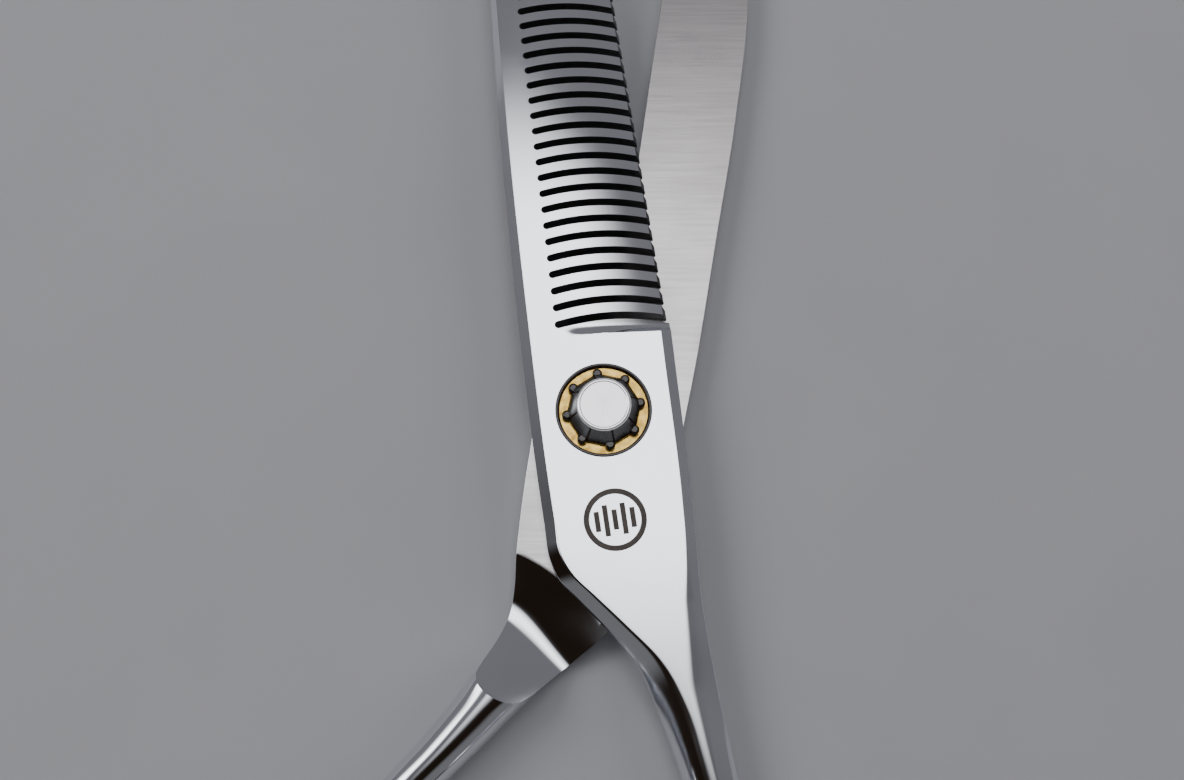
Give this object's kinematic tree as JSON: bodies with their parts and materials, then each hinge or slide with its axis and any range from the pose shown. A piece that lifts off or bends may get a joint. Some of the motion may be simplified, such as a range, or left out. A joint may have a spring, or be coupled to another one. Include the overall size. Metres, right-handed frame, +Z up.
{
  "type": "thinning shears",
  "caption": "Offset-handle thinning shears: a toothed half and a plain half crossing on a dial-tensioned pivot, with finger rest and rubber bumper.",
  "frame": {"origin": "on the pivot axis, at the flush outer face of the pivot bolt's head, which is the plane the shears lie on", "axes": "+Z up the pivot axis with the dial side up, +Y towards the blade tips along the line that halves the angle between the blades at rest"},
  "size_m": [0.08, 0.1571, 0.0082],
  "materials": {
    "polished_steel": "mirror-polished stainless steel",
    "satin_steel": "stainless steel, ground across the blade on its riding face and polished elsewhere",
    "bolt_steel": "turned steel",
    "bronze": "plain bronze",
    "white_nylon": "natural nylon",
    "black_metal": "gloss black coating on metal",
    "gold_brass": "satin gold-coloured brass",
    "black_plastic": "semi-gloss black",
    "cap_aluminium": "fine turned face with a bright rim",
    "black_rubber": "matte rubber"
  },
  "bodies": {
    "toothed_side": {"toothed_half": "polished_steel", "pivot_bush": "bronze", "dial_bezel": "black_metal", "slide_washer": "white_nylon", "finger_rest": "polished_steel", "finger_rest_stud": "bolt_steel"},
    "plain_side": {"plain_half": "satin_steel", "pivot_bolt": "bolt_steel", "blade_washer": "white_nylon", "click_ring": "gold_brass", "wave_spring": "bolt_steel", "retaining_screw": "bolt_steel", "bumper": "black_rubber", "bumper_stud": "gold_brass"},
    "tension_dial": {"dial_nut": "black_plastic", "dial_insert": "gold_brass", "dial_cap": "cap_aluminium"}
  },
  "joints": [
    {"name": "blade_pivot", "type": "hinge", "parent": "toothed_side", "child": "plain_side", "pos_m": [0, 0, 0.003], "axis": [0, 0, 1], "range_deg": [-50, 11.2]},
    {"name": "dial_turn", "type": "hinge", "parent": "plain_side", "child": "tension_dial", "pos_m": [0, 0, 0.006], "axis": [0, 0, 1], "range_deg": [-180, 180]}
  ]
}
